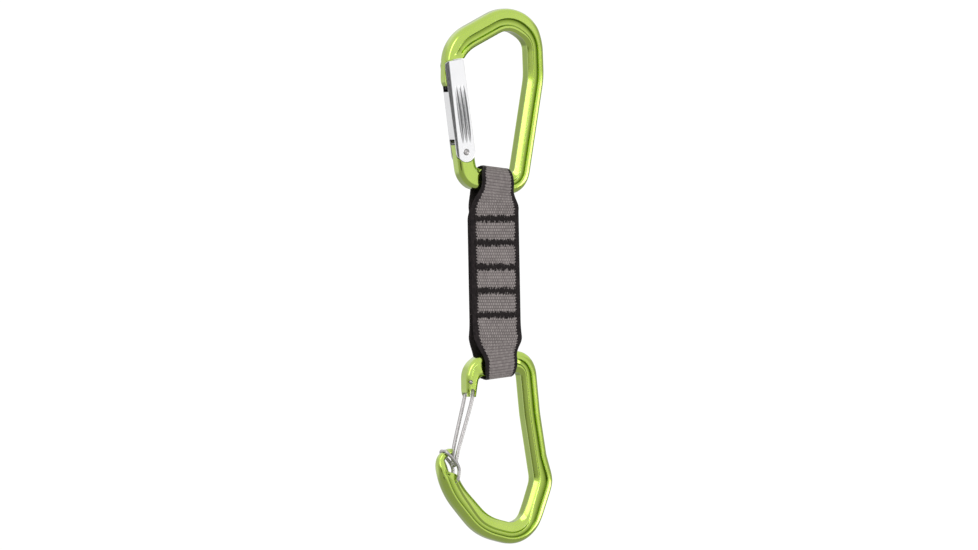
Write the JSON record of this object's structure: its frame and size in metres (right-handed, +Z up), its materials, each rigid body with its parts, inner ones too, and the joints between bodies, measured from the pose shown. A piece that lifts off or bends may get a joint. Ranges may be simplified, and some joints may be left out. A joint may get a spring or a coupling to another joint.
{
  "type": "climbing quickdraw",
  "caption": "Quickdraw: a keylock solid-gate carabiner and a wire-gate carabiner with a hooded nose, joined by a short sewn webbing sling with a loop at each end.",
  "frame": {"origin": "inside of the upper carabiner's bow at its highest point, where a bolt hanger sits", "axes": "+Z up along the hanging quickdraw, +X from the gates to the spines, +Y through the carabiners from their front face to their back face"},
  "size_m": [0.0692, 0.0162, 0.2892],
  "materials": {
    "anodised_green": "glossy lime-green anodising over forged aluminium",
    "polished_aluminium": "polished, clear anodised",
    "stainless_wire": "bright drawn stainless steel",
    "spring_steel": "drawn wire",
    "woven_webbing": "grey woven nylon with black selvedges",
    "bar_tack_thread": "black sewing thread"
  },
  "bodies": {
    "bolt_carabiner": {"bolt_carabiner_frame": "anodised_green"},
    "bolt_gate": {"bolt_gate": "polished_aluminium", "bolt_gate_rivet": "stainless_wire", "bolt_gate_spring": "spring_steel"},
    "gate_plunger": {"bolt_gate_plunger": "stainless_wire"},
    "sling": {"sling_webbing": "woven_webbing", "bar_tack_1": "bar_tack_thread", "bar_tack_2": "bar_tack_thread", "bar_tack_3": "bar_tack_thread", "bar_tack_4": "bar_tack_thread", "bar_tack_5": "bar_tack_thread"},
    "rope_carabiner": {"rope_carabiner_frame": "anodised_green", "rope_hood_wire": "stainless_wire"},
    "rope_gate": {"rope_wire_gate": "stainless_wire"}
  },
  "joints": [
    {"name": "bolt_gate_hinge", "type": "hinge", "parent": "bolt_carabiner", "child": "bolt_gate", "pos_m": [-0.0259, 0, -0.0657], "axis": [0, 1, 0], "range_deg": [0, 30], "stiffness_Nm_per_rad": 0.25, "springref_deg": -8.59},
    {"name": "gate_plunger_slide", "type": "slide", "parent": "bolt_gate", "child": "gate_plunger", "axis": [-0.1444, 0, 0.9895], "range_m": [0, 0.0016], "deforming": ["bolt_gate_spring"]},
    {"name": "sling_swing", "type": "hinge", "parent": "bolt_carabiner", "child": "sling", "pos_m": [-0.0081, 0, -0.08146], "axis": [0.9938, 0, -0.1111], "range_deg": [-85, 85]},
    {"name": "rope_carabiner_swing", "type": "hinge", "parent": "sling", "child": "rope_carabiner", "pos_m": [-0.006, 0, -0.17976], "axis": [0.993, 0, 0.1181], "range_deg": [-85, 85]},
    {"name": "rope_gate_hinge", "type": "hinge", "parent": "rope_carabiner", "child": "rope_gate", "pos_m": [-0.02325, 0, -0.18966], "axis": [0, -1, 0], "range_deg": [0, 32], "stiffness_Nm_per_rad": 0.12, "springref_deg": -11.46}
  ],
  "couplings": [
    {"joint": "gate_plunger_slide", "follows": "bolt_gate_hinge", "m_per_rad": 0.003}
  ]
}
